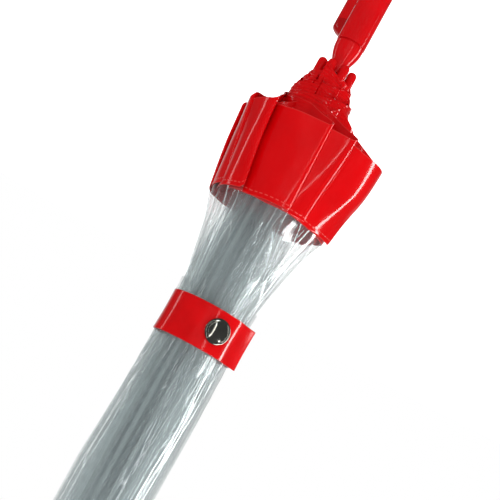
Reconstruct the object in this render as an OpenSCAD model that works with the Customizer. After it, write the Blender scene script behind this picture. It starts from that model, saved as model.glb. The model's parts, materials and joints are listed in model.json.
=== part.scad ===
// Clear dome umbrella, furled, with a crook handle, eight ribs and a strap.
// Millimetres. +Z runs from the handle to the ferrule; the origin is the middle of the grip, on the shaft.

/* [Handle] */
// outside radius of the grip
grip_r = 10.8; // [9.8:0.2:13]
// half the length of the straight grip
grip_half = 38; // [34:1:48]
// radius of the crook's centreline
crook_r = 32; // [28:1:40]
// length of the domed plug in the crook's free end
plug_length = 11; // [8:1:14]
// height at which the crook's free end stops
crook_end_z = 12; // [8:1:30]
// length of the collar that necks down from the grip to the shaft
collar_length = 25; // [22:1:28]

/* [Shaft] */
// outside radius of the tubular shaft
shaft_r = 5; // [4.5:0.1:5]
// wall of the shaft
shaft_wall = 0.8; // [0.6:0.1:1.2]
// height of the wire that carries the ribs
crown_z = 785; // [780:1:800]
// radius of the ferrule's tip
ferrule_r = 3.5; // [3:0.25:4.5]
// height of the ferrule over the top cap
ferrule_length = 60; // [45:1:70]

/* [Frame] */
// distance from crown wire to strut rivet, and the strut's own length between pivots
arm = 320; // [318:1:322]
// distance from crown wire to the knuckle in the rib
knuckle_at = 330; // [328:1:334]
// height at which the rib tips end
tip_z = 57; // [57:1:64]
// radius of a rib rod
rod_r = 1.6; // [1.3:0.1:1.6]
// radius of a rib's tip cap
cap_r = 3; // [2.6:0.1:3.2]
// radius at which the furled ribs lie round the shaft
rib_ring = 12.5; // [12.4:0.1:12.7]

/* [Canopy] */
// height of the seam between the clear panels and the border
seam_z = 175; // [168:1:182]
// height of the border's hem when furled
hem_z = 113; // [106:1:120]
// how far the furled hem stands out from the shaft
hem_r = 50; // [44:1:54]
// modelled thickness of the film in the closed solids
film = 1.4; // [1.2:0.1:1.6]

/* [Strap] */
// height of the strap's middle
strap_z = 264; // [256:1:270]
// width of the strap, along the shaft
strap_width = 30; // [26:1:34]
// radius of the snap's cap
snap_r = 8.5; // [7:0.5:10]
// direction of the strap's overlap, degrees from +X
front = -82; // [-90:1:-76]

/* [Hidden] */
$fn = 48;
e = 0.01;
ribs = 8;
step = 360 / ribs;
first_rib = front - step / 2;
fit_gap = 0.05;
seam_z0 = grip_half;
crook_x = 2 * crook_r;
ring_z = -6;
wire_r = 0.6;
wire_ring = 8.5;
slot = 3;
eye_hole = 0.8;
rivet_r = 0.7;
strut_z = crown_z - arm;
runner_z = crown_z - 2 * arm;
knuckle_z = crown_z - knuckle_at;
sleeve_in = 5.3;
sleeve_out = 6.6;
sleeve_low = runner_z - 46;
sleeve_high = runner_z + 4;
travel = 359.44;
groove = 2.6;
catch_out = 6.1;
low_catch_z = sleeve_low + 12;
high_catch_z = sleeve_low + travel - 6;
film_top_r = 16;
film_mid_r = 24;
film_strap_r = 25.4;
film_seam_r = 40;
panel_gap = 4;
strap_low = strap_z - strap_width / 2;
strap_in_r = 28;
strap_out_r = 29.1;
strap_t = 0.8;
snap_turn = asin(12.7 / strap_out_r);
tail_turn = 57;

// Helpers

module ring(r_out, r_in, height) {
  difference() {
    cylinder(r = r_out, h = height);
    translate([0, 0, -1]) cylinder(r = r_in, h = height + 2);
  }
}

module at_rib(i) {
  rotate([0, 0, first_rib + (i - 1) * step]) children();
}

// a disc whose axis is tangential, centred at radius r and height z
module cross_disc(r, z, radius, width) {
  translate([r, 0, z]) rotate([90, 0, 0]) cylinder(r = radius, h = width, center = true, $fn = 32);
}

// a plate in the radial plane, centred on it
module radial_plate(points, width) {
  rotate([90, 0, 0]) linear_extrude(height = width, center = true) polygon(points);
}

module wire_torus(radius, z) {
  translate([0, 0, z]) rotate_extrude() translate([wire_ring, 0]) circle(r = radius, $fn = 20);
}

// a shell round the shaft, from a radial profile, over part of a turn
module shell(points, from, turn) {
  rotate([0, 0, from]) rotate_extrude(angle = turn) polygon(points);
}

// Handle and shaft

module shaft_tube() {
  color("silver") difference() {
    translate([0, 0, grip_half - 60]) ring(shaft_r, shaft_r - shaft_wall, crown_z + 6 - grip_half + 60);
    translate([0, 0, 10]) rotate([0, 90, 0]) cylinder(r = 1.3, h = 30, center = true);
    for (z = [low_catch_z, high_catch_z])
      rotate([0, 0, front + 90]) translate([shaft_r / 2, -1.1, z - 0.2]) cube([shaft_r, 2.2, 16.4]);
  }
}

module crook_handle() {
  color("red") difference() {
    union() {
      translate([0, 0, -grip_half]) cylinder(r = grip_r, h = 2 * grip_half, $fn = 64);
      translate([0, crook_r, -grip_half]) rotate([0, 90, 0]) rotate([0, 0, -90])
        rotate_extrude(angle = 180, $fn = 96) translate([crook_r, 0]) circle(r = grip_r, $fn = 64);
      translate([0, crook_x, -grip_half])
        cylinder(r = grip_r, h = crook_end_z - plug_length + grip_half, $fn = 64);
    }
    translate([0, 0, grip_half - 60]) cylinder(r = shaft_r + fit_gap, h = 61);
    translate([0, 0, 10]) rotate([0, 90, 0]) cylinder(r = 1.3, h = 30, center = true);
    translate([0, crook_x, crook_end_z - plug_length - 5]) cylinder(r = grip_r - 3, h = 6);
    moulded_ring();
  }
}

// a shallow round groove in the grip's face
module moulded_ring() {
  intersection() {
    translate([0, 0, -grip_half]) ring(grip_r + 1, grip_r - 0.4, 2 * grip_half);
    rotate([0, 0, front - 38]) translate([2, 0, ring_z]) rotate([0, 90, 0]) ring(8, 7.1, 12);
  }
}

module crook_end_cap() {
  color("red") translate([0, crook_x, crook_end_z - plug_length]) {
    cylinder(r = grip_r, h = plug_length - 6, $fn = 64);
    translate([0, 0, -4]) cylinder(r = grip_r - 3 - fit_gap, h = 5);
    translate([0, 0, plug_length - 6]) rotate_extrude($fn = 64) intersection() {
      scale([1, 6 / grip_r]) circle(r = grip_r, $fn = 64);
      square([grip_r, grip_r]);
    }
  }
}

module grip_pin() {
  color("gray") translate([0, 0, 10]) rotate([0, 90, 0]) cylinder(r = 1.25, h = 20.6, center = true);
}

module handle_collar() {
  color("red") translate([0, 0, seam_z0]) rotate_extrude($fn = 64) polygon([
    [shaft_r + fit_gap, 0], [9.6, 0], [9.6, 0.7], [10.4, 1.2], [10.3, 4],
    [9.9, 7], [8.8, 11], [7.4, 14.5], [6.5, 17.5], [6.2, collar_length], [shaft_r + fit_gap, collar_length]
  ]);
}

module stop_ring() {
  color("gray") translate([0, 0, sleeve_low - 4.3]) ring(6.6, shaft_r + fit_gap, 4);
}

module upper_stop() {
  color("gray") translate([0, 0, sleeve_high + travel + 0.3]) ring(6.5, shaft_r + fit_gap, 4);
}

module crown_notch() {
  color("silver") difference() {
    translate([0, 0, crown_z - 4]) ring(11.4, shaft_r + fit_gap, 8);
    for (i = [1 : ribs]) at_rib(i) translate([6.6, -slot / 2, crown_z - 5]) cube([6, slot, 10]);
    wire_torus(wire_r + fit_gap, crown_z);
  }
}

module crown_wire() {
  color("silver") wire_torus(wire_r, crown_z);
}

module top_cap() {
  color("silver") translate([0, 0, crown_z + 6.2]) difference() {
    rotate_extrude() polygon([[0, 0], [13, 0], [13, 1.2], [9, 4], [5.5, 6], [0, 6]]);
    translate([0, 0, -e]) cylinder(r = 2.55, h = 7);
  }
}

module ferrule() {
  color("silver") translate([0, 0, crown_z + 12.2]) {
    cylinder(r1 = 5.5, r2 = ferrule_r + 0.5, h = ferrule_length - 42);
    translate([0, 0, ferrule_length - 42]) cylinder(r = ferrule_r, h = 40);
    translate([0, 0, ferrule_length - 2]) cylinder(r1 = ferrule_r, r2 = ferrule_r - 1, h = 2);
    translate([0, 0, -6]) cylinder(r = 2.5, h = 6);
  }
}

module spring_catch(z) {
  color("silver") rotate([0, 0, front + 90]) translate([0, 0, z]) rotate([90, 0, 0])
    linear_extrude(height = 1.8, center = true)
      polygon([[2.6, 0.4], [4.4, 0.4], [catch_out, 1.6], [4.6, 15.6], [2.6, 15.6]]);
}

module bottom_catch() {
  spring_catch(low_catch_z);
}

module top_catch() {
  spring_catch(high_catch_z);
}

module runner() {
  color("silver") difference() {
    union() {
      translate([0, 0, sleeve_low]) ring(sleeve_out, sleeve_in, sleeve_high - sleeve_low);
      translate([0, 0, runner_z - 4]) ring(10.4, sleeve_out - 0.3, 8);
    }
    for (i = [1 : ribs])
      at_rib(i) translate([sleeve_out, -slot / 2, runner_z - 5]) cube([6, slot, 10]);
    wire_torus(wire_r + fit_gap, runner_z);
    rotate([0, 0, front + 90]) translate([sleeve_in - 2, -groove / 2, sleeve_low - 1])
      cube([3.1, groove, sleeve_high - sleeve_low + 2]);
  }
}

module runner_wire() {
  color("silver") wire_torus(wire_r, runner_z);
}

// Ribs and struts

module rib_upper(i) {
  color("gainsboro") at_rib(i) {
    difference() {
      union() {
        cross_disc(wire_ring, crown_z, 1.5, 2.2);
        radial_plate([
          [wire_ring - 0.6, crown_z - 1], [wire_ring + 1.4, crown_z - 0.4],
          [rib_ring + 1.2, crown_z - 9], [rib_ring + 1.2, crown_z - 15],
          [rib_ring - 1.2, crown_z - 15], [rib_ring - 1.4, crown_z - 9]
        ], 2.2);
        translate([rib_ring, 0, knuckle_z + 2.5]) cylinder(r = rod_r, h = crown_z - 12 - knuckle_z - 2.5);
      }
      cross_disc(wire_ring, crown_z, eye_hole, 4);
    }
    for (side = [-1, 1]) translate([0, side * 1.55, 0]) {
      cross_disc(wire_ring, strut_z, 1.4, 0.8);
      radial_plate([
        [wire_ring, strut_z - 1.4], [rib_ring, strut_z - 4],
        [rib_ring, strut_z + 4], [wire_ring, strut_z + 1.4]
      ], 0.8);
    }
    cross_disc(wire_ring, strut_z, rivet_r, 4.2);
    for (side = [-1, 1]) translate([0, side * 1.15, 0]) {
      cross_disc(rib_ring, knuckle_z, 1.5, 0.7);
      radial_plate([
        [rib_ring - 1.1, knuckle_z], [rib_ring - 1.1, knuckle_z + 3.5],
        [rib_ring + 1.1, knuckle_z + 3.5], [rib_ring + 1.1, knuckle_z]
      ], 0.7);
    }
    cross_disc(rib_ring, knuckle_z, 0.6, 3);
  }
}

module rib_lower(i) {
  color("gainsboro") at_rib(i) {
    difference() {
      union() {
        cross_disc(rib_ring, knuckle_z, 1.5, 1.3);
        radial_plate([
          [rib_ring - 1.1, knuckle_z], [rib_ring + 1.1, knuckle_z],
          [rib_ring + 1.1, knuckle_z - 3.5], [rib_ring - 1.1, knuckle_z - 3.5]
        ], 1.3);
      }
      cross_disc(rib_ring, knuckle_z, 0.68, 3);
    }
    translate([rib_ring, 0, tip_z + 5]) cylinder(r = rod_r, h = knuckle_z - 2.4 - tip_z - 5);
  }
  color("red") at_rib(i) translate([rib_ring, 0, tip_z]) difference() {
    union() {
      translate([0, 0, cap_r]) sphere(r = cap_r, $fn = 32);
      translate([0, 0, cap_r]) cylinder(r = cap_r, h = 12);
    }
    translate([0, 0, 5]) cylinder(r = rod_r + fit_gap, h = 12);
  }
}

module strut(i) {
  color("silver") at_rib(i) difference() {
    union() {
      cross_disc(wire_ring, runner_z, 1.4, 2);
      translate([wire_ring - 1.2, -1, runner_z]) cube([2.4, 2, arm]);
      cross_disc(wire_ring, strut_z, 1.4, 2);
    }
    cross_disc(wire_ring, runner_z, eye_hole, 3);
    cross_disc(wire_ring, strut_z, eye_hole, 3);
  }
}

// Canopy, as closed solids over the furled frame

module gore_upper(i) {
  color("lightblue", 0.4) shell([
    [film_top_r, crown_z - 4], [film_top_r + film, crown_z - 4],
    [film_mid_r + film, knuckle_z + 1], [film_mid_r, knuckle_z + 1]
  ], first_rib + (i - 1) * step + panel_gap, step - 2 * panel_gap);
}

module gore_lower(i) {
  start = first_rib + (i - 1) * step + panel_gap;
  turn = step - 2 * panel_gap;
  color("lightblue", 0.4) shell([
    [film_mid_r, knuckle_z - 1], [film_strap_r, strap_z + 30], [film_strap_r, strap_low - 6],
    [film_seam_r, seam_z], [film_seam_r + film, seam_z], [film_strap_r + film, strap_low - 6],
    [film_strap_r + film, strap_z + 30], [film_mid_r + film, knuckle_z - 1]
  ], start, turn);
  color("red") shell([
    [film_seam_r, seam_z - 0.3], [film_seam_r + film, seam_z - 0.3], [hem_r, hem_z], [hem_r - film, hem_z]
  ], start, turn);
}

// Strap

module strap_tail_outer() {
  end = front - tail_turn;
  color("red") {
    translate([0, 0, strap_low]) rotate([0, 0, end])
      rotate_extrude(angle = 180 - 4 + tail_turn, $fn = 96)
        translate([strap_out_r, 0]) square([strap_t, strap_width]);
    rotate([0, 0, end]) translate([strap_out_r, -13, strap_low])
      cube([strap_t, 13 + e, strap_width]);
  }
}

module strap_tail_inner() {
  color("red") translate([0, 0, strap_low]) rotate([0, 0, front + 180 + 4])
    rotate_extrude(angle = 180 + 1, $fn = 96)
      translate([strap_in_r, 0]) square([strap_t, strap_width]);
}

module snap_cap() {
  color("dimgray") rotate([0, 0, front - snap_turn]) translate([strap_out_r + strap_t + 0.1, 0, strap_z])
    rotate([0, 90, 0]) rotate_extrude($fn = 48)
      polygon([[0, 0], [snap_r, 0], [snap_r, 0.7], [snap_r - 1, 1.5], [snap_r - 3.5, 2.1], [0, 2.3]]);
}

module snap_stud() {
  color("silver") rotate([0, 0, front - snap_turn]) translate([strap_in_r - 1.1, 0, strap_z])
    rotate([0, 90, 0]) cylinder(r = 4, h = 0.7);
}

shaft_tube();
crook_handle();
crook_end_cap();
grip_pin();
handle_collar();
stop_ring();
upper_stop();
crown_notch();
crown_wire();
top_cap();
ferrule();
bottom_catch();
top_catch();
runner();
runner_wire();
rib_upper(1);  // rib_upper_1
rib_upper(2);  // rib_upper_2
rib_upper(3);  // rib_upper_3
rib_upper(4);  // rib_upper_4
rib_upper(5);  // rib_upper_5
rib_upper(6);  // rib_upper_6
rib_upper(7);  // rib_upper_7
rib_upper(8);  // rib_upper_8
rib_lower(1);  // rib_lower_1
rib_lower(2);  // rib_lower_2
rib_lower(3);  // rib_lower_3
rib_lower(4);  // rib_lower_4
rib_lower(5);  // rib_lower_5
rib_lower(6);  // rib_lower_6
rib_lower(7);  // rib_lower_7
rib_lower(8);  // rib_lower_8
strut(1);  // strut_1
strut(2);  // strut_2
strut(3);  // strut_3
strut(4);  // strut_4
strut(5);  // strut_5
strut(6);  // strut_6
strut(7);  // strut_7
strut(8);  // strut_8
gore_upper(1);  // gore_upper_1
gore_upper(2);  // gore_upper_2
gore_upper(3);  // gore_upper_3
gore_upper(4);  // gore_upper_4
gore_upper(5);  // gore_upper_5
gore_upper(6);  // gore_upper_6
gore_upper(7);  // gore_upper_7
gore_upper(8);  // gore_upper_8
gore_lower(1);  // gore_lower_1
gore_lower(2);  // gore_lower_2
gore_lower(3);  // gore_lower_3
gore_lower(4);  // gore_lower_4
gore_lower(5);  // gore_lower_5
gore_lower(6);  // gore_lower_6
gore_lower(7);  // gore_lower_7
gore_lower(8);  // gore_lower_8
strap_tail_outer();
strap_tail_inner();
snap_cap();
snap_stud();
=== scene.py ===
import json
import math
import bmesh
import bpy
import numpy as np
from mathutils import Matrix, Vector


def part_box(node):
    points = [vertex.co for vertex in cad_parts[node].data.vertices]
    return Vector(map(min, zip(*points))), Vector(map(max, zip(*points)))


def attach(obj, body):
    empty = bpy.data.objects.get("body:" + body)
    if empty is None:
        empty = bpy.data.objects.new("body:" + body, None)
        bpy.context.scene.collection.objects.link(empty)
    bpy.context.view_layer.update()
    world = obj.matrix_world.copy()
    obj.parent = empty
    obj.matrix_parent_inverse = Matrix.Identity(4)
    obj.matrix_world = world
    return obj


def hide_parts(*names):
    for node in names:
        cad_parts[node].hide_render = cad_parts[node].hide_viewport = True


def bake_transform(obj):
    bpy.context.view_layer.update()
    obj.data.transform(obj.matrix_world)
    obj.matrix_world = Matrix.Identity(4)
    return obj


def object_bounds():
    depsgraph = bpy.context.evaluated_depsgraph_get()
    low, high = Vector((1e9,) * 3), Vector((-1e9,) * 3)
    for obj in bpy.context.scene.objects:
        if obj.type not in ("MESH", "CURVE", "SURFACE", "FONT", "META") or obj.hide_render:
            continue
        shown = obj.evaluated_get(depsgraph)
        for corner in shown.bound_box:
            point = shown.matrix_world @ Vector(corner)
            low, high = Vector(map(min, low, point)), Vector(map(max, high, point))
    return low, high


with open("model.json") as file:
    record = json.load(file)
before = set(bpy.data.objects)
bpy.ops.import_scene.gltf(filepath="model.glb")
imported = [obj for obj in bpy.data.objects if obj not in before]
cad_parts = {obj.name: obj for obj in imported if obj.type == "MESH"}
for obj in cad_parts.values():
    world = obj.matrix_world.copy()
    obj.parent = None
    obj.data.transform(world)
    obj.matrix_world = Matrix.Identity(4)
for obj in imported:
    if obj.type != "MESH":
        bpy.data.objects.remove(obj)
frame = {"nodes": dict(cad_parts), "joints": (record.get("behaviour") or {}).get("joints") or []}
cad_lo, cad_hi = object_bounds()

MM = 0.001
FRONT = math.radians(-82)          # direction of the strap's overlap, seen from the shaft
STEP = math.radians(45)
FIRST = FRONT - STEP / 2           # direction of rib 1
JOINTS = {j["name"]: j for j in frame["joints"]}
CROWN_Z = JOINTS["rib_swing_1"]["pos_m"][2] / MM
KNUCKLE_Z = JOINTS["rib_bend_1"]["pos_m"][2] / MM
RIVET_Z = JOINTS["strut_fold_1"]["pos_m"][2] / MM
RIB_RING = 12.5                    # radius of the ring of furled ribs
TIP_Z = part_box("rib_lower_1")[0][2] / MM
STRAP_LO, STRAP_HI = (corner[2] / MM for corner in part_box("strap_tail_outer"))
STRAP_Z = (STRAP_LO + STRAP_HI) / 2
SEAM_Z = 175                       # the film's seam with the border
HEM_Z = 113                        # the border's hem
BORDER = SEAM_Z - HEM_Z
RIBS = range(1, 9)

front = Vector((math.cos(FRONT), math.sin(FRONT), 0))
right = front.cross(Vector((0, 0, 1)))       # to the right of the strap's overlap, with the handle up


# ---------------------------------------------------------------- camera

def studio_camera():
    """The camera over the furled umbrella, with the handle at the upper right."""
    tilt, roll, lens, distance = math.radians(9), math.radians(28.7), 78.0, 0.740
    along = Vector((-math.sin(roll), -math.cos(roll), 0))
    side = Vector((math.cos(roll), -math.sin(roll), 0))
    toward = Vector((0, 0, 1))
    axis_c = along * math.cos(tilt) + toward * math.sin(tilt)
    front_c = axis_c.cross(side)
    cam_basis = Matrix((side, axis_c, front_c)).transposed()
    part_basis = Matrix((right, Vector((0, 0, 1)), front)).transposed()
    turn = part_basis @ cam_basis.transposed()
    target = Vector((0, 0, 0.2013))
    in_view = Vector((-0.00635, 0.0034, -distance))
    data = bpy.data.cameras.new("studio_camera")
    data.type, data.lens, data.sensor_width = "PERSP", lens, 36
    data.clip_start, data.clip_end = 0.01, 50
    camera = bpy.data.objects.new("studio_camera", data)
    bpy.context.scene.collection.objects.link(camera)
    camera.matrix_world = Matrix.Translation(target - turn @ in_view) @ turn.to_4x4()
    bpy.context.scene.camera = camera


studio_camera()


# ---------------------------------------------------------------- node helpers

def new_material(name):
    material = bpy.data.materials.new(name)
    material.use_nodes = True
    tree = material.node_tree
    shader = next(n for n in tree.nodes if n.type == "BSDF_PRINCIPLED")
    return material, tree, shader


def node(tree, kind, values=(), **settings):
    n = tree.nodes.new(kind)
    for key, value in settings.items():
        setattr(n, key, value)
    for key, value in dict(values).items():
        n.inputs[key].default_value = value
    return n


def ramp(tree, source, stops):
    """A colour ramp fed by source; stops are (place, colour)."""
    n = tree.nodes.new("ShaderNodeValToRGB")
    while len(n.color_ramp.elements) < len(stops):
        n.color_ramp.elements.new(0.5)
    for element, (place, colour) in zip(n.color_ramp.elements, stops):
        element.position = place
        element.color = (*colour, 1) if len(colour) == 3 else colour
    tree.links.new(source, n.inputs["Fac"])
    return n.outputs["Color"]


def remap(tree, source, low, high, to_low, to_high):
    n = node(tree, "ShaderNodeMapRange")
    tree.links.new(source, n.inputs["Value"])
    for key, value in (("From Min", low), ("From Max", high), ("To Min", to_low), ("To Max", to_high)):
        n.inputs[key].default_value = value
    return n.outputs["Result"]


def place(tree, coords, scale=(1, 1, 1), turn=(0, 0, 0)):
    n = node(tree, "ShaderNodeMapping")
    n.inputs["Scale"].default_value = scale
    n.inputs["Rotation"].default_value = turn
    tree.links.new(coords, n.inputs["Vector"])
    return n.outputs["Vector"]


def bump(tree, height, strength, distance, onto=None):
    n = node(tree, "ShaderNodeBump", {"Strength": strength, "Distance": distance})
    tree.links.new(height, n.inputs["Height"])
    if onto is not None:
        tree.links.new(onto, n.inputs["Normal"])
    return n.outputs["Normal"]


def wear_group():
    """Handling marks: a soft mottle and fine scuffs, for colour, roughness and height."""
    group = bpy.data.node_groups.new("handling_marks", "ShaderNodeTree")
    for name in ("Mottle Scale", "Scuff Scale"):
        group.interface.new_socket(name, in_out="INPUT", socket_type="NodeSocketFloat")
    for name in ("Mottle", "Scuffs"):
        group.interface.new_socket(name, in_out="OUTPUT", socket_type="NodeSocketFloat")
    inside, outside = group.nodes.new("NodeGroupInput"), group.nodes.new("NodeGroupOutput")
    coords = group.nodes.new("ShaderNodeTexCoord").outputs["Object"]
    mottle = node(group, "ShaderNodeTexNoise", {"Detail": 4.0, "Roughness": 0.55})
    scuff = node(group, "ShaderNodeTexNoise", {"Detail": 6.0, "Roughness": 0.7})
    stretched = place(group, coords, (1, 1, 0.25))
    group.links.new(coords, mottle.inputs["Vector"])
    group.links.new(stretched, scuff.inputs["Vector"])
    group.links.new(inside.outputs["Mottle Scale"], mottle.inputs["Scale"])
    group.links.new(inside.outputs["Scuff Scale"], scuff.inputs["Scale"])
    group.links.new(mottle.outputs["Fac"], outside.inputs["Mottle"])
    group.links.new(scuff.outputs["Fac"], outside.inputs["Scuffs"])
    return group


MARKS = wear_group()


def marks(tree, mottle_scale, scuff_scale):
    n = node(tree, "ShaderNodeGroup", node_tree=MARKS)
    n.inputs["Mottle Scale"].default_value = mottle_scale
    n.inputs["Scuff Scale"].default_value = scuff_scale
    return n.outputs["Mottle"], n.outputs["Scuffs"]


def solid_material(name, dark, light, rough, metallic=0.0, mottle=40, scuffs=400, height=0.06, coat=0.0):
    """A moulded or metal finish: two close tones, uneven gloss and a fine surface."""
    material, tree, shader = new_material(name)
    patches, scratches = marks(tree, mottle, scuffs)
    tree.links.new(ramp(tree, patches, [(0.35, dark), (0.65, light)]), shader.inputs["Base Color"])
    tree.links.new(remap(tree, scratches, 0.3, 0.7, rough[0], rough[1]), shader.inputs["Roughness"])
    tree.links.new(bump(tree, scratches, height, 0.0002), shader.inputs["Normal"])
    shader.inputs["Metallic"].default_value = metallic
    shader.inputs["Coat Weight"].default_value = coat
    shader.inputs["Coat Roughness"].default_value = 0.04
    return material


STITCH_STEP = 0.0026
STITCH_ROW = 0.0031                # from the seam's edge to the middle of the row
THREAD_HALF = (0.0002, 0.0005)     # where the thread starts to fade and where it ends, from its middle


def border_material():
    """Glossy red sheet, with puckers along its length, a row of stitches by its seam and a highlight painted
    along its cut edges.
    """
    material, tree, shader = new_material("red_border")
    coords = node(tree, "ShaderNodeTexCoord").outputs["Object"]
    flat = node(tree, "ShaderNodeUVMap", uv_map="flat").outputs["UV"]
    patches, scratches = marks(tree, 30, 260)
    split = node(tree, "ShaderNodeSeparateXYZ")
    tree.links.new(flat, split.inputs["Vector"])
    beat = node(tree, "ShaderNodeMath", {1: 2 * math.pi / STITCH_STEP}, operation="MULTIPLY")
    tree.links.new(split.outputs["X"], beat.inputs[0])
    wave = node(tree, "ShaderNodeMath", operation="SINE")
    tree.links.new(beat.outputs[0], wave.inputs[0])
    dash = remap(tree, wave.outputs[0], -0.45, -0.1, 0, 1)
    row = node(tree, "ShaderNodeMath", {1: STITCH_ROW}, operation="SUBTRACT")
    tree.links.new(split.outputs["Y"], row.inputs[0])
    off = node(tree, "ShaderNodeMath", operation="ABSOLUTE")
    tree.links.new(row.outputs[0], off.inputs[0])
    line = remap(tree, off.outputs[0], *THREAD_HALF, 0.6, 0)
    thread = node(tree, "ShaderNodeMath", operation="MULTIPLY")
    tree.links.new(dash, thread.inputs[0])
    tree.links.new(line, thread.inputs[1])
    dip = remap(tree, off.outputs[0], 0.0, 0.0016, 1, 0)
    # painted highlight: where the cut edges would catch the light, at the seam and at the hem, the colour is
    # paled on the outer folds
    from_hem = node(tree, "ShaderNodeMath", {0: BORDER * MM}, operation="SUBTRACT")
    tree.links.new(split.outputs["Y"], from_hem.inputs[1])
    nearest = node(tree, "ShaderNodeMath", operation="MINIMUM")
    tree.links.new(split.outputs["Y"], nearest.inputs[0])
    tree.links.new(from_hem.outputs[0], nearest.inputs[1])
    outer = node(tree, "ShaderNodeAttribute", attribute_name="outer").outputs["Fac"]
    painted_edge_highlight = remap(tree, nearest.outputs[0], 0.0001, 0.0007, 0.35, 0)
    shown = node(tree, "ShaderNodeMath", operation="MULTIPLY")
    tree.links.new(painted_edge_highlight, shown.inputs[0])
    tree.links.new(outer, shown.inputs[1])
    base = ramp(tree, patches, [(0.3, (0.62, 0.0006, 0.002)), (0.7, (0.72, 0.001, 0.003))])
    # one paler red serves for the stitch thread and for the painted edge highlight
    mix = node(tree, "ShaderNodeMix", {"B": (0.84, 0.09, 0.08, 1)}, data_type="RGBA")
    thread_and_painted_highlight = node(tree, "ShaderNodeMath", operation="MAXIMUM")
    tree.links.new(thread.outputs[0], thread_and_painted_highlight.inputs[0])
    tree.links.new(shown.outputs[0], thread_and_painted_highlight.inputs[1])
    tree.links.new(thread_and_painted_highlight.outputs[0], mix.inputs["Factor"])
    tree.links.new(base, mix.inputs["A"])
    tree.links.new(mix.outputs["Result"], shader.inputs["Base Color"])
    tree.links.new(remap(tree, scratches, 0.3, 0.7, 0.08, 0.15), shader.inputs["Roughness"])
    soft = node(tree, "ShaderNodeTexNoise", {"Scale": 24.0, "Detail": 2.0, "Roughness": 0.4})
    tree.links.new(place(tree, coords, (1, 1, 0.35)), soft.inputs["Vector"])
    rise = node(tree, "ShaderNodeMath", operation="SUBTRACT")
    tree.links.new(thread.outputs[0], rise.inputs[0])
    tree.links.new(dip, rise.inputs[1])
    normal = bump(tree, soft.outputs["Fac"], 0.35, 0.004)
    tree.links.new(bump(tree, rise.outputs[0], 0.5, 0.0004, normal), shader.inputs["Normal"])
    shader.inputs["IOR"].default_value = 1.5
    return material


FILM_SHINE = (0.3, 1.0)            # of the inner folds, and of the outermost fold
FILM_HAZE = (0.03, 0.065)
FACE_ON, AT_A_SLANT = 0.085, 0.9   # how much of the light both faces of the film mirror


def film_material():
    """Clear soft film: see-through, shiny at a slant, faintly milky and creased in use."""
    material, tree, shader = new_material("clear_film")
    output = next(n for n in tree.nodes if n.type == "OUTPUT_MATERIAL")
    coords = node(tree, "ShaderNodeTexCoord").outputs["Object"]
    patches, scratches = marks(tree, 22, 180)
    blotch = node(tree, "ShaderNodeTexNoise",
                  {"Scale": 21.0, "Detail": 1.0, "Roughness": 0.3, "Distortion": 1.0})
    tree.links.new(place(tree, coords, (1, 1, 0.6)), blotch.inputs["Vector"])
    normal = bump(tree, blotch.outputs["Fac"], 0.30, 0.009)
    tree.links.new(ramp(tree, patches, [(0.3, (0.80, 0.87, 0.88)), (0.7, (0.90, 0.95, 0.96))]),
                   shader.inputs["Base Color"])
    tree.links.new(remap(tree, scratches, 0.3, 0.7, 0.25, 0.4), shader.inputs["Roughness"])
    tree.links.new(normal, shader.inputs["Normal"])
    outer = node(tree, "ShaderNodeAttribute", attribute_name="outer").outputs["Fac"]
    clear = node(tree, "ShaderNodeBsdfTransparent", {"Color": (0.991, 0.995, 0.995, 1)})
    through = node(tree, "ShaderNodeBsdfTranslucent", {"Color": (0.90, 0.95, 0.96, 1)})
    both_ways = node(tree, "ShaderNodeMixShader", {"Fac": 0.5})
    tree.links.new(shader.outputs[0], both_ways.inputs[1])
    tree.links.new(through.outputs[0], both_ways.inputs[2])
    milky = node(tree, "ShaderNodeMixShader")
    tree.links.new(remap(tree, patches, 0.3, 0.7, *FILM_HAZE), milky.inputs["Fac"])
    tree.links.new(clear.outputs[0], milky.inputs[1])
    tree.links.new(both_ways.outputs[0], milky.inputs[2])
    mirror = node(tree, "ShaderNodeBsdfGlossy", {"Color": (0.95, 0.98, 0.98, 1)})
    tree.links.new(remap(tree, scratches, 0.3, 0.7, 0.05, 0.11), mirror.inputs["Roughness"])
    tree.links.new(normal, mirror.inputs["Normal"])
    # the same mirror share from either side of the film: little face on, all of it at a slant
    slant = node(tree, "ShaderNodeLayerWeight", {"Blend": 0.5})
    tree.links.new(normal, slant.inputs["Normal"])
    steep = node(tree, "ShaderNodeMath", {1: 5.0}, operation="POWER")
    tree.links.new(slant.outputs["Facing"], steep.inputs[0])
    skin = node(tree, "ShaderNodeMath", operation="MULTIPLY")
    tree.links.new(remap(tree, steep.outputs[0], 0, 1, FACE_ON, AT_A_SLANT), skin.inputs[0])
    tree.links.new(remap(tree, outer, 0, 1, *FILM_SHINE), skin.inputs[1])
    mix = node(tree, "ShaderNodeMixShader")
    tree.links.new(skin.outputs[0], mix.inputs["Fac"])
    tree.links.new(milky.outputs[0], mix.inputs[1])
    tree.links.new(mirror.outputs[0], mix.inputs[2])
    tree.links.new(mix.outputs[0], output.inputs["Surface"])
    return material


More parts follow.
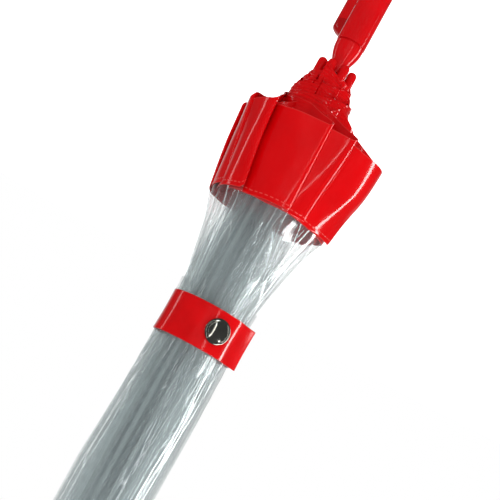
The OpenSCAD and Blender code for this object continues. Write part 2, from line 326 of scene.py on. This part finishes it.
RED_GLOSS = solid_material("red_gloss", (0.62, 0.0008, 0.003), (0.72, 0.0015, 0.004), (0.10, 0.2),
                           coat=0.1, height=0.03)
RED_STRAP = solid_material("red_strap", (0.60, 0.0006, 0.002), (0.70, 0.001, 0.003), (0.09, 0.16), coat=0.1,
                           mottle=55, scuffs=700, height=0.08)
RED_DEEP = solid_material("red_deep", (0.40, 0.0006, 0.002), (0.48, 0.001, 0.003), (0.12, 0.22), coat=0.1)
STEEL = solid_material("steel", (0.50, 0.52, 0.54), (0.62, 0.64, 0.66), (0.22, 0.36), metallic=0.75)
NICKEL = solid_material("dark_nickel", (0.50, 0.48, 0.42), (0.62, 0.60, 0.53), (0.06, 0.13),
                        metallic=1.0, mottle=120)
FIBRE = solid_material("fibreglass", (0.70, 0.72, 0.72), (0.80, 0.82, 0.82), (0.32, 0.5), mottle=60)
WHITE = solid_material("white_plastic", (0.72, 0.74, 0.74), (0.80, 0.82, 0.82), (0.3, 0.45))
RED_BORDER = border_material()
FILM = film_material()


# ---------------------------------------------------------------- mesh helpers

def finish_mesh(name, mesh, material, smooth=True):
    obj = bpy.data.objects.new(name, mesh)
    bpy.context.scene.collection.objects.link(obj)
    mesh.materials.append(material)
    if smooth:
        for polygon in mesh.polygons:
            polygon.use_smooth = True
    return obj


def from_bmesh(name, bm, material, smooth=True, sharp=None):
    bmesh.ops.remove_doubles(bm, verts=bm.verts, dist=1e-7)
    bmesh.ops.recalc_face_normals(bm, faces=bm.faces)
    if sharp is not None:
        for edge in bm.edges:
            if len(edge.link_faces) == 2 and edge.calc_face_angle() > sharp:
                edge.smooth = False
    mesh = bpy.data.meshes.new(name)
    bm.to_mesh(mesh)
    bm.free()
    return finish_mesh(name, mesh, material, smooth)


def polar(radius, azimuth, z):
    return Vector((radius * math.cos(azimuth) * MM, radius * math.sin(azimuth) * MM, z * MM))


def rib_azimuth(i):
    return FIRST + (i - 1) * STEP


# ---------------------------------------------------------------- how the frame opens

def turn_about(name, value):
    """The 4x4 of joint name turned by value radians."""
    j = JOINTS[name]
    p = np.array(j["pos_m"])
    r = np.array(Matrix.Rotation(value, 3, Vector(j["axis"])))
    m = np.eye(4)
    m[:3, :3], m[:3, 3] = r, p - r @ p
    return m


def far_end(name):
    low, high = JOINTS[name]["range_deg"]
    return math.radians(low if abs(low) > abs(high) else high)


def open_frames(i):
    """Where rib i's upper and lower halves are when the canopy is fully open."""
    upper = turn_about(f"rib_swing_{i}", far_end(f"rib_swing_{i}"))
    return upper, upper @ turn_about(f"rib_bend_{i}", far_end(f"rib_bend_{i}"))


# ---------------------------------------------------------------- furled canopy

def smooth(x, a, b):
    t = np.clip((np.asarray(x, float) - a) / (b - a), 0, 1)
    return t * t * (3 - 2 * t)


def bundle_radius(z):
    """Radius of the furled bundle: loose at the hem, drawn in at the strap, tapering to the crown."""
    return np.interp(z, [100, 113, 140, 175, 190, 207, 223, 240, 264, 288, 320, 374, 455, 600, 740, 770, 782],
                     [49.5, 49, 46, 41, 36, 32.5, 29.5, 27, 25.8, 26.8, 28, 29.2, 27.5, 22.5, 16, 13.5, 11])


def off_centre(z):
    """How far the outer folds lie to the right of the shaft."""
    return np.interp(z, [100, 175, 207, 240, 264, 320, 374, 455, 785],
                     [6.3, 6.2, 5.2, 4.4, 4.1, 3.4, 1.8, 0.5, 0])


CROWN_R = 8.5                      # of the ring that the ribs hang from


def open_width(z):
    """Width of a panel between two ribs, in mm, at the height it has when furled."""
    s = CROWN_Z - np.asarray(z, float)
    knuckle = CROWN_Z - KNUCKLE_Z
    swing, bend = far_end("rib_swing_1"), far_end("rib_bend_1")
    radius = CROWN_R + np.minimum(s, knuckle) * math.sin(swing)
    radius = radius + np.maximum(s - knuckle, 0) * math.sin(swing + bend)
    return 2 * radius * math.sin(STEP / 2)


def crease(t):
    """A wave of flat faces with sharp turns between them, from -1 to 1."""
    return np.arcsin(0.985 * np.sin(t)) / math.asin(0.985)


FOLDS = 3
FOLD_ROUND = 0.96                  # how sharp the folds are: 1 is a knife edge
# where each panel's outer flap ends beside the strap's overlap, in degrees, panels 1 to 8
FLAP_EDGE = (-39, -19, 27, 53, 84, -172, -128, -90)
FLAP_REACH = 46                    # how far a flap goes beyond the middle of its panel, in degrees
TIER = 2.7                         # height of a step in the stack of inner turns
POINTED = 1                        # the panel whose border ends in a point between the rib tips
POINT_AT, POINT_RISE, POINT_HALF = 0.09, 8, 0.075
SHIFT = np.random.default_rng(7).uniform(-1, 1, (9, 8))


def flap_lean(i):
    """How far the outer flap of panel i leans round from the middle of its panel, in degrees."""
    lean = FLAP_EDGE[i - 1] + FLAP_REACH - (i - 1) * 45
    return (lean + 180) % 360 - 180


def hem_step(i, u):
    """Height of each turn of the hem: a step further up than the turn inside it."""
    q = 1 - np.abs(2 * u - 1)
    rise = np.interp(q, [0, 0.15, 0.19, 0.48, 0.52, 0.66, 0.77, 0.80, 0.87, 1],
                     [68, 70, 75, 79, 86, 90, 97, 104, 112, 113.5])
    inner = (1 - smooth(q, 0.62, 0.85)) * smooth(q, 0.1, 0.2)
    if i == POINTED:
        rise = rise - POINT_RISE * np.clip(1 - np.abs(u - POINT_AT) / POINT_HALF, 0, 1)
    return rise + inner * (5.0 * ((3 * i) % 8 - 3.5) / 3.5 + 2.6 * np.sign(u - 0.5))


def hem_height(i, u):
    q = 1 - np.abs(2 * u - 1)
    return hem_step(i, u) + 2.2 * SHIFT[i][6] * smooth(q, 0.7, 0.9) * np.cos(5 * u + SHIFT[i][3])


def canopy_point(i, u, z):
    """The furled film: panel i, share u from rib i to rib i+1, at height z in mm."""
    h = SHIFT[i]
    q = 1 - np.abs(2 * u - 1)
    flare = smooth(z, 232, 160)
    tight = np.interp(q, [0, 0.167, 0.5, 0.833, 1], [0, 0.25, 0.6, 0.95, 1])
    loose = np.interp(hem_step(i, u), [68, 76, 84, 92, 98, 104, 109, 113],
                      [0, 0.10, 0.19, 0.28, 0.38, 0.66, 0.92, 1])
    share = tight * (1 - flare) + loose * flare
    inner = np.interp(z, [745, 765, 782], [14.7, 13.2, 9.6])
    radius = bundle_radius(z)
    zigzag = np.arcsin(FOLD_ROUND * np.sin(2 * math.pi * FOLDS * u)) / math.asin(FOLD_ROUND)
    middle = (inner + radius) / 2
    reach = np.minimum(0.92 * open_width(z) / (4 * FOLDS * middle), 1.02)
    lean = np.interp(z, [100, 175, 264, 455, 700, 780], [1, 1, 0, 0, 0, 0]) * flap_lean(i)
    lean = np.radians(lean + np.interp(z, [175, 264, 455, 700, 780], [0, -16, 26, 10, 0]))
    azimuth = rib_azimuth(i) + STEP * u + lean * share + reach * zigzag
    lap = np.interp(z, [100, 175, 240, 300, 455, 700], [6.0, 4.2, 0.9, 0.8, 0.7, 0.2])
    r = inner + (radius - inner) * share - lap * zigzag * share
    # soft waves in the loose border, and pleats that run into the strap
    wave = np.sin(3.1 * azimuth + z / 31 + 2.2 * h[2]) * 0.9
    wave = wave + np.sin(7.3 * azimuth - z / 17 + 3 * h[3]) * 0.45
    r = r + wave * share * (0.3 + 1.2 * flare) * smooth(z, 785, 700)
    pull = np.exp(-((z - STRAP_Z) / 46.0) ** 2) + 0.25
    pleat = crease(11 * azimuth + 0.9 * np.sin(z / 55 + h[6]) + 5 * h[7]) * 1.1
    pleat = pleat + crease(23 * azimuth - 0.025 * z + 4 * h[6]) * 0.45
    film_only = (1 - smooth(z, 200, 176)) * smooth(z, 785, 640)
    r = r + pleat * pull * (0.15 + 0.85 * smooth(q, 0.6, 0.85)) * share * film_only
    # the inner turns of the hem lie in a stack of thin steps
    tier = np.mod((z + 2.2 * np.sin(azimuth - FRONT + 0.5) + 0.5 * np.sin(5 * azimuth)) / TIER, 1)
    r = r + 0.62 * tier * (1 - smooth(q, 0.66, 0.78)) * smooth(z, 120, 108) * smooth(q, 0.03, 0.12)
    # buckles across the flaps on the strap's free side
    turn = azimuth - FRONT
    side = smooth(-np.sin(turn), 0.45, 0.75) * smooth(np.cos(turn), -0.3, 0.2)
    arc = radius * turn
    buckle = 1.0 * np.sin((arc + 0.35 * z) / 5.5 + h[1]) + 0.6 * np.sin((0.5 * arc - 0.45 * z) / 7.0)
    r = r + buckle * side * flare * smooth(q, 0.7, 0.9) * smooth(z, 180, 168)
    r = r + 2.0 * h[4] * flare * share
    if i == POINTED:
        r = r + 3.2 * np.clip(1 - np.abs(u - POINT_AT) / 0.09, 0, 1) * smooth(z, 92, 74)
    shift = off_centre(z) * share
    x = r * np.cos(azimuth) + shift * right.x
    y = r * np.sin(azimuth) + shift * right.y
    return np.stack([x, y, z], -1) * MM


def sheet_object(name, points, flat, material, thickness=0.0):
    """A grid of points (rows, columns, 3) as a smooth sheet with its flat coordinates, in metres."""
    rows, cols = points.shape[:2]
    index = np.arange(rows * cols).reshape(rows, cols)
    quads = np.stack([index[:-1, :-1], index[:-1, 1:], index[1:, 1:], index[1:, :-1]], -1).reshape(-1, 4)
    mesh = bpy.data.meshes.new(name)
    mesh.from_pydata(points.reshape(-1, 3).tolist(), [], quads.tolist())
    layer = mesh.uv_layers.new(name="flat")
    corner = np.empty(len(mesh.loops), np.int32)
    mesh.loops.foreach_get("vertex_index", corner)
    layer.data.foreach_set("uv", flat.reshape(-1, 2)[corner].astype(np.float32).ravel())
    obj = finish_mesh(name, mesh, material)
    if thickness:
        solid = obj.modifiers.new("thickness", "SOLIDIFY")
        solid.thickness, solid.offset = thickness * MM, 0
        solid.use_even_offset = False
    return obj


def sheet_area(points):
    """Area of a grid of points."""
    a = points[1:, :-1] - points[:-1, :-1]
    b = points[:-1, 1:] - points[:-1, :-1]
    c = points[1:, :-1] - points[1:, 1:]
    d = points[:-1, 1:] - points[1:, 1:]
    half = lambda m, n: np.linalg.norm(np.cross(m, n), axis=-1).sum() / 2
    return float(half(a, b) + half(c, d))


def canopy_piece(name, i, heights, u, material, half, flat_y, thickness=0.0, lift=0.0):
    """One panel piece of gore i, lying between rib i and rib i+1, and its cut area in m2. heights is (rows,
    columns), in mm."""
    U = np.broadcast_to(u, heights.shape)
    points = canopy_point(i, U, heights)
    if lift:
        out = points.copy()
        out[..., 2] = 0
        points = points + out / np.maximum(np.linalg.norm(out, axis=-1, keepdims=True), 1e-9) * lift * MM
    flat = np.stack([U * open_width(heights) * MM, flat_y * MM], -1)
    obj = sheet_object(name, points, flat, material, thickness)
    outer = obj.data.attributes.new("outer", "FLOAT", "POINT")
    outer.data.foreach_set("value", smooth(1 - np.abs(2 * U - 1), 0.6, 0.85).astype(np.float32).ravel())
    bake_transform(obj)
    base = open_frames(i)[0 if half == "upper" else 1]
    return obj, sheet_area(np.dstack([flat, np.zeros(U.shape)]))


def panel_columns(n):
    """Shares across a panel, closer together at the folds."""
    t = np.linspace(0, 1, n + 1)
    phase = 2 * math.pi * FOLDS * t
    return t + 0.20 * np.sin(2 * phase) / (2 * math.pi * FOLDS * 2)


def bend_mitre(i, u):
    """How far the film stands beyond the bend, so that the two halves of a panel join when it is open."""
    at_bend = canopy_point(i, u, np.full_like(u, KNUCKLE_Z))
    natural = rib_azimuth(i) + STEP * u
    outward = (at_bend[:, 0] * np.cos(natural) + at_bend[:, 1] * np.sin(natural)) / MM - RIB_RING
    return np.clip(outward, 0, 30) * SOFT_TURN


SEAM_LAP = 7                       # how far the border laps the film at the seam
COARSE, FINE = panel_columns(132), panel_columns(252)
SOFT_TURN = math.tan(abs(far_end("rib_bend_1")) / 2)
for i in RIBS:
    u = COARSE
    # the two halves of a panel meet on a mitre at the bend, so that they join when open
    mitre = bend_mitre(i, u)
    v = np.linspace(0, 1, 47)[:, None]
    upper = (CROWN_Z - 3) * (1 - v) + (KNUCKLE_Z - mitre)[None, :] * v
    obj, cut_area = canopy_piece(
        f"panel_upper_{i}", i, upper, u, FILM, "upper", CROWN_Z - upper)
    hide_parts(f"gore_upper_{i}")
    u = FINE
    mitre = bend_mitre(i, u)
    seam = hem_height(i, u) + BORDER
    v = np.linspace(0, 1, 67)[:, None]
    lower = (KNUCKLE_Z + mitre)[None, :] * (1 - v) + (seam - SEAM_LAP)[None, :] * v
    obj, cut_area = canopy_piece(
        f"panel_lower_{i}", i, lower, u, FILM, "lower", CROWN_Z - lower)
    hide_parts(f"gore_lower_{i}")
    v = (1 - (1 - np.linspace(0, 1, 73)) ** 1.35)[:, None]
    edge = seam[None, :] * (1 - v) + hem_height(i, u)[None, :] * v
    obj, cut_area = canopy_piece(
        f"border_{i}", i, edge, u, RED_BORDER, "lower", seam[None, :] - edge, thickness=0.5, lift=0.35)


# ---------------------------------------------------------------- strap and its snap

STRAP_R = 27.6                     # of the tail that lies inside
STRAP_SHIFT = 4.5                  # of the bundle's middle from the shaft, at the strap
STRAP_CENTRE = right * STRAP_SHIFT * MM
TAIL_TURN = math.radians(57)       # how far the outer tail goes round past the front
SNAP_TURN = math.asin(9.5 / 29.1)  # the snap is 9.5 mm to the right of the front
STRAP_HALF = (STRAP_HI - STRAP_LO) / 2
FREE_END = 13.0                    # the straight end beyond the bundle
# where the tails meet at the back, over their hinge, and half the gap between them
HINGE_R = 29
MEETING = FRONT + math.pi - math.asin(STRAP_SHIFT / HINGE_R)
TAIL_GAP = math.radians(2.5)


def strap_band(name, radius, start, stop, free, material):
    """A strap tail along the bundle from azimuth start to stop, then straight on for free mm."""
    turn = abs(stop - start) * radius
    length = turn + free
    steps = max(8, int(length / 1.5))
    rows = 12
    bm = bmesh.new()
    bmesh.ops.create_grid(bm, x_segments=steps, y_segments=rows, size=0.5)
    sense = math.copysign(1, stop - start)
    for vert in bm.verts:
        run, across = (vert.co.x + 0.5) * length, vert.co.y * 2
        past = max(0.0, run - turn)
        azimuth = start + sense * min(run, turn) / radius
        curl = 0.45 * across * across - 0.25 * math.sin(run / 9.0) * across
        ripple = 0.35 * math.sin(run / 7.3 + 1.1) + 0.2 * math.sin(run / 3.1 + across)
        out = radius + curl * 0.8 + ripple * 0.5 + 1.1 * (past / max(free, 1)) ** 2
        level = STRAP_Z + across * (STRAP_HALF - 0.25) + 0.35 * math.sin(run / 17.0)
        tangent = Vector((-math.sin(azimuth), math.cos(azimuth), 0)) * sense
        vert.co = polar(out, azimuth, level) + tangent * past * MM + STRAP_CENTRE
    obj = from_bmesh(name, bm, material)
    solid = obj.modifiers.new("thickness", "SOLIDIFY")
    solid.thickness, solid.offset = 0.9 * MM, 0
    edge = obj.modifiers.new("edge", "BEVEL")
    edge.width, edge.segments, edge.limit_method = 0.28 * MM, 2, "ANGLE"
    edge.angle_limit = math.radians(50)
    return obj, length


outer_tail, outer_length = strap_band(
    "strap_outer", STRAP_R + 1.0, MEETING - TAIL_GAP, FRONT - TAIL_TURN, FREE_END, RED_STRAP)
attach(outer_tail, "strap_outer_body")
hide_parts("strap_tail_outer")

inner_tail, inner_length = strap_band(
    "strap_inner", STRAP_R - 0.2, MEETING - 2 * math.pi + TAIL_GAP, FRONT, 0.0, RED_STRAP)
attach(inner_tail, "strap_inner_body")
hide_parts("strap_tail_inner")


def turned(name, profile, matrix, material, steps=64):
    """A solid turned round Z from (radius, height) points that start and end on the axis, in mm."""
    bm = bmesh.new()
    verts = [bm.verts.new((r * MM, 0, z * MM)) for r, z in profile]
    edges = [bm.edges.new(pair) for pair in zip(verts, verts[1:])]
    bmesh.ops.spin(bm, geom=verts + edges, cent=(0, 0, 0), axis=(0, 0, 1),
                   angle=2 * math.pi, steps=steps, use_merge=True)
    bmesh.ops.transform(bm, matrix=matrix, verts=bm.verts)
    return from_bmesh(name, bm, material, sharp=math.radians(42))


def snap_frame(out):
    """Where the snap sits, with Z outward from the strap."""
    azimuth = FRONT - SNAP_TURN
    centre = polar(STRAP_R + out, azimuth, STRAP_Z - 1) + STRAP_CENTRE
    outward = Matrix.Rotation(azimuth, 4, "Z") @ Matrix.Rotation(math.pi / 2, 4, "Y")
    return Matrix.Translation(centre) @ outward


CAP_PROFILE = [(0, 0), (8.6, 0), (8.95, 0.25), (9.0, 0.8), (8.8, 1.3), (8.3, 1.6), (7.7, 1.68), (7.3, 1.55),
               (7.0, 1.4), (6.6, 1.5), (5.0, 1.95), (3.4, 2.27), (1.7, 2.47), (0, 2.53)]
snap = turned("snap_button", CAP_PROFILE, snap_frame(1.5), NICKEL)
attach(snap, "strap_outer_body")
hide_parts("snap_cap")


# ---------------------------------------------------------------- rib ends

ROD_R = 1.6
CAP_R = 3.35
CAP_TOP = TIP_Z + 16
TIP_CAP = [(0, TIP_Z), (0.9, TIP_Z + 0.05), (1.9, TIP_Z + 0.45), (2.75, TIP_Z + 1.2), (3.2, TIP_Z + 2.3),
           (CAP_R, TIP_Z + 3.6), (CAP_R, CAP_TOP - 0.6), (2.8, CAP_TOP), (0, CAP_TOP)]
ROD = [(0, CAP_TOP - 2), (ROD_R, CAP_TOP - 2), (ROD_R, KNUCKLE_Z - 4), (1.2, KNUCKLE_Z), (0, KNUCKLE_Z)]
for i in RIBS:
    at_rib = Matrix.Translation(polar(RIB_RING, rib_azimuth(i), 0))
    rod = turned(f"rib_rod_{i}", ROD, at_rib, FIBRE, 20)
    cap = turned(f"rib_tip_{i}", TIP_CAP, at_rib, RED_STRAP, 28)
    for piece in (rod, cap):
        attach(piece, f"rib_lower_body_{i}")
    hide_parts(f"rib_lower_{i}")


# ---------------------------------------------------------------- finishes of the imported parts

FINISHES = {
    "crook_handle": RED_GLOSS, "crook_end_cap": RED_DEEP, "handle_collar": RED_GLOSS,
    "crown_notch": WHITE, "runner": WHITE, "top_cap": RED_GLOSS, "ferrule": RED_GLOSS, "rib_upper": FIBRE,
}
for name, part in frame["nodes"].items():
    stem = name.rstrip("12345678").rstrip("_")
    for slot in part.material_slots:
        slot.material = FINISHES.get(stem, STEEL)


# ---------------------------------------------------------------- light and floor

def area_light(name, place_at, look_at, size, power, mirrored=True):
    """A soft box; one that is not mirrored lights the umbrella and shows in no reflection."""
    data = bpy.data.lights.new(name, "AREA")
    data.shape, data.size, data.size_y = "RECTANGLE", size[0], size[1]
    data.energy = power
    light = bpy.data.objects.new(name, data)
    bpy.context.scene.collection.objects.link(light)
    light.visible_glossy = mirrored
    light.location = place_at
    light.rotation_mode = "QUATERNION"
    light.rotation_quaternion = (Vector(look_at) - Vector(place_at)).to_track_quat("-Z", "Y")


def white_studio():
    """White all round to look at and an even light; shiny things mirror a dim room, white only behind."""
    world = bpy.data.worlds.new("white_studio")
    bpy.context.scene.world = world
    world.use_nodes = True
    tree = world.node_tree
    seen = next(n for n in tree.nodes if n.type == "BACKGROUND")
    seen.inputs["Color"].default_value = (1, 1, 1, 1)
    way = node(tree, "ShaderNodeTexCoord").outputs["Generated"]
    facing = node(tree, "ShaderNodeVectorMath", {1: tuple(front)}, operation="DOT_PRODUCT")
    tree.links.new(way, facing.inputs[0])
    room = ramp(tree, remap(tree, facing.outputs["Value"], -1, 1, 0, 1),
                [(0.02, (1.0, 1.0, 1.0)), (0.14, (0.06, 0.062, 0.064))])
    mirrored = node(tree, "ShaderNodeBackground", {"Strength": 0.9})
    tree.links.new(room, mirrored.inputs["Color"])
    even = node(tree, "ShaderNodeBackground", {"Color": (1, 1, 1, 1), "Strength": 0.78})
    ray = node(tree, "ShaderNodeLightPath")
    lit = node(tree, "ShaderNodeMixShader")
    tree.links.new(ray.outputs["Is Glossy Ray"], lit.inputs["Fac"])
    tree.links.new(even.outputs[0], lit.inputs[1])
    tree.links.new(mirrored.outputs[0], lit.inputs[2])
    both = node(tree, "ShaderNodeMixShader")
    output = next(n for n in tree.nodes if n.type == "OUTPUT_WORLD")
    tree.links.new(ray.outputs["Is Camera Ray"], both.inputs["Fac"])
    tree.links.new(lit.outputs[0], both.inputs[1])
    tree.links.new(seen.outputs[0], both.inputs[2])
    tree.links.new(both.outputs[0], output.inputs["Surface"])


white_studio()
bpy.context.scene.view_settings.view_transform = "Standard"

middle = Vector((0, 0, 0.25))
area_light("box_left", middle - front * 0.35 - right * 1.15, middle, (0.07, 1.3), 1.1)
area_light("box_right", middle - front * 0.05 + right * 1.15, middle, (0.12, 1.3), 7)
area_light("box_crown", middle + front * 0.55 + right * 0.95 + Vector((0, 0, 0.62)), middle,
           (0.14, 0.60), 2.6)
area_light("strip", middle + front * 1.1 + right * 0.42, middle, (0.03, 1.1), 0.7)
area_light("fill", middle + front * 2.2 + Vector((0, 0, -0.2)), middle, (1.6, 1.6), 13, mirrored=False)

floor_material, floor_tree, floor_shader = new_material("white_floor")
floor_shader.inputs["Base Color"].default_value = (0.9, 0.9, 0.9, 1)
floor_shader.inputs["Roughness"].default_value = 0.9
floor_shader.inputs["Emission Color"].default_value = (1, 1, 1, 1)
floor_shader.inputs["Emission Strength"].default_value = 1.0
floor_mesh = bmesh.new()
bmesh.ops.create_circle(floor_mesh, cap_ends=True, segments=64, radius=3.0)
bmesh.ops.translate(floor_mesh, vec=(0, 0, cad_lo.z - 0.002), verts=floor_mesh.verts)
floor = from_bmesh("floor", floor_mesh, floor_material, smooth=False)
floor.visible_glossy = floor.visible_diffuse = False

bpy.context.scene.cycles.transparent_max_bounces = 96
